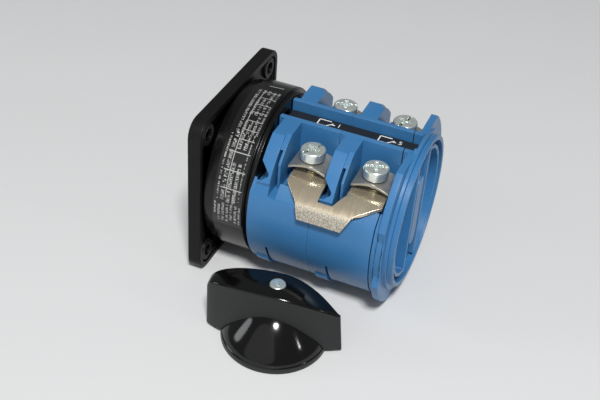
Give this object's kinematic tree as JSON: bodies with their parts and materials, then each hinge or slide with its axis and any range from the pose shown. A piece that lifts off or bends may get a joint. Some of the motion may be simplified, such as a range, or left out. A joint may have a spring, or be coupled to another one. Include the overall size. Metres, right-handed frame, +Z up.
{
  "type": "rotary cam transfer switch",
  "caption": "Manual transfer switch: square black mounting plate, labelled latch housing, blue contact decks with screw terminals and a jumper link, end plate and loose black bar handle.",
  "frame": {"origin": "centre of the footprint, on the surface the switch and its loose handle lie on", "axes": "+Z up; +X along the shaft from the mounting plate to the end plate; +Y from the loose handle towards the switch"},
  "size_m": [0.085, 0.0986, 0.064],
  "materials": {
    "blue_plastic": "satin moulded polyamide, soft grey sheen on edges",
    "black_plastic": "satin moulded black",
    "strip_black": "matt black strip with plain white marks",
    "label_film": "glossy printed film",
    "dial_face": "matt silver-grey printed disc",
    "spring_steel": "plain steel",
    "brass_parts": "stamped brass",
    "nickel_plate": "warm nickel-plated sheet, finely grained",
    "zinc_plate": "bright zinc plate with a faint yellow-green cast",
    "ivory_plastic": "natural moulded nylon",
    "handle_black": "polished black, matt grey sides"
  },
  "bodies": {
    "housing": {"front_plate": "black_plastic", "dial_plate": "dial_face", "latch_housing": "black_plastic", "rating_label": "label_film", "index_roller_top": "spring_steel", "index_spring_top": "spring_steel", "index_roller_bottom": "spring_steel", "index_spring_bottom": "spring_steel", "tie_screw_near": "zinc_plate", "tie_screw_far": "zinc_plate", "deck_housing_1": "blue_plastic", "deck_housing_2": "blue_plastic", "contact_1_near_top": "brass_parts", "clamp_1_near_top": "nickel_plate", "screw_1_near_top": "zinc_plate", "contact_1_far_top": "brass_parts", "clamp_1_far_top": "nickel_plate", "screw_1_far_top": "zinc_plate", "contact_1_near_bottom": "brass_parts", "clamp_1_near_bottom": "nickel_plate", "screw_1_near_bottom": "zinc_plate", "contact_1_far_bottom": "brass_parts", "clamp_1_far_bottom": "nickel_plate", "screw_1_far_bottom": "zinc_plate", "contact_2_near_top": "brass_parts", "clamp_2_near_top": "nickel_plate", "screw_2_near_top": "zinc_plate", "contact_2_far_top": "brass_parts", "clamp_2_far_top": "nickel_plate", "screw_2_far_top": "zinc_plate", "contact_2_near_bottom": "brass_parts", "clamp_2_near_bottom": "nickel_plate", "screw_2_near_bottom": "zinc_plate", "contact_2_far_bottom": "brass_parts", "clamp_2_far_bottom": "nickel_plate", "screw_2_far_bottom": "zinc_plate", "jumper_link": "nickel_plate", "marking_strip_top": "strip_black", "marking_strip_bottom": "strip_black", "end_plate": "blue_plastic"},
    "rotor": {"drive_shaft": "spring_steel", "index_wheel": "ivory_plastic", "cam_1": "brass_parts", "cam_2": "brass_parts"},
    "carrier_1_top": {"carrier_1_top": "ivory_plastic", "bridge_1_top": "brass_parts", "contact_spring_1_top": "spring_steel"},
    "carrier_1_bottom": {"carrier_1_bottom": "ivory_plastic", "bridge_1_bottom": "brass_parts", "contact_spring_1_bottom": "spring_steel"},
    "carrier_2_top": {"carrier_2_top": "ivory_plastic", "bridge_2_top": "brass_parts", "contact_spring_2_top": "spring_steel"},
    "carrier_2_bottom": {"carrier_2_bottom": "ivory_plastic", "bridge_2_bottom": "brass_parts", "contact_spring_2_bottom": "spring_steel"},
    "handle": {"handle": "handle_black", "handle_screw": "zinc_plate"}
  },
  "joints": [
    {"name": "shaft_turn", "type": "hinge", "parent": "housing", "child": "rotor", "pos_m": [-0.0325, 0.01683, 0.032], "axis": [1, 0, 0], "range_deg": [-60, 60]},
    {"name": "contact_1_top_stroke", "type": "slide", "parent": "housing", "child": "carrier_1_top", "axis": [0, 0, 1], "range_m": [-0.0012, 0.0012]},
    {"name": "contact_1_bottom_stroke", "type": "slide", "parent": "housing", "child": "carrier_1_bottom", "axis": [0, 0, -1], "range_m": [-0.0012, 0.0012]},
    {"name": "contact_2_top_stroke", "type": "slide", "parent": "housing", "child": "carrier_2_top", "axis": [0, 0, 1], "range_m": [-0.0012, 0.0012]},
    {"name": "contact_2_bottom_stroke", "type": "slide", "parent": "housing", "child": "carrier_2_bottom", "axis": [0, 0, -1], "range_m": [-0.0012, 0.0012]},
    {"name": "handle_lift", "type": "slide", "parent": "housing", "child": "handle", "axis": [0, -0.8, 0.6], "range_m": [0, 0.05]}
  ],
  "couplings": [
    {"joint": "contact_1_top_stroke", "follows": "shaft_turn", "m_per_rad": 0.0011459},
    {"joint": "contact_1_bottom_stroke", "follows": "shaft_turn", "m_per_rad": 0.0011459},
    {"joint": "contact_2_top_stroke", "follows": "shaft_turn", "m_per_rad": -0.0011459},
    {"joint": "contact_2_bottom_stroke", "follows": "shaft_turn", "m_per_rad": -0.0011459}
  ]
}
